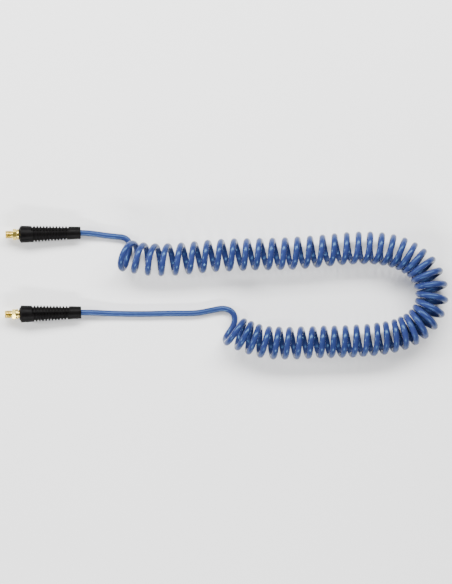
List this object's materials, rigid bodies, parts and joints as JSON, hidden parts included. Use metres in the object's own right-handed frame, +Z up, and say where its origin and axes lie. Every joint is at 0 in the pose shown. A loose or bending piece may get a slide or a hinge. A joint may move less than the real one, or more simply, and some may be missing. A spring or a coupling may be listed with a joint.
{
  "type": "coiled air hose",
  "caption": "Coiled polyurethane air hose with straight tails, rubber bend protectors and swivelling male threads; carries compressed air to a hand tool.",
  "frame": {"origin": "on the surface that the hose lies on, under the middle of the box around the two end fittings", "axes": "+X from the fittings towards the coil's bend, +Y from the outlet fitting to the inlet fitting, +Z up"},
  "size_m": [0.7301, 0.2205, 0.0545],
  "materials": {
    "blue_polyurethane": "gloss",
    "black_rubber": "satin",
    "brass": "satin",
    "ferrule_brass": "satin",
    "spring_steel": "satin",
    "seal_rubber": "matte",
    "washer_plastic": "matte"
  },
  "bodies": {
    "hose": {"inlet_stem": "brass", "inlet_o_ring_front": "seal_rubber", "inlet_o_ring_rear": "seal_rubber", "inlet_snap_ring": "spring_steel", "inlet_thrust_washer": "washer_plastic", "inlet_ferrule": "ferrule_brass", "inlet_bend_protector": "black_rubber", "outlet_stem": "brass", "outlet_o_ring_front": "seal_rubber", "outlet_o_ring_rear": "seal_rubber", "outlet_snap_ring": "spring_steel", "outlet_thrust_washer": "washer_plastic", "outlet_ferrule": "ferrule_brass", "outlet_bend_protector": "black_rubber", "hose_tail_inlet": "blue_polyurethane", "hose_coil": "blue_polyurethane", "hose_tail_outlet": "blue_polyurethane"},
    "inlet_swivel_nipple": {"inlet_swivel_nipple": "brass"},
    "outlet_swivel_nipple": {"outlet_swivel_nipple": "brass"}
  },
  "joints": [
    {"name": "inlet_swivel", "type": "hinge", "parent": "hose", "child": "inlet_swivel_nipple", "pos_m": [-0.04627, 0.06534, 0.01459], "axis": [0.9988, 0.0262, -0.0416], "continuous": true},
    {"name": "outlet_swivel", "type": "hinge", "parent": "hose", "child": "outlet_swivel_nipple", "pos_m": [-0.04717, -0.0659, 0.01467], "axis": [0.9988, 0.0262, -0.0416], "continuous": true}
  ]
}
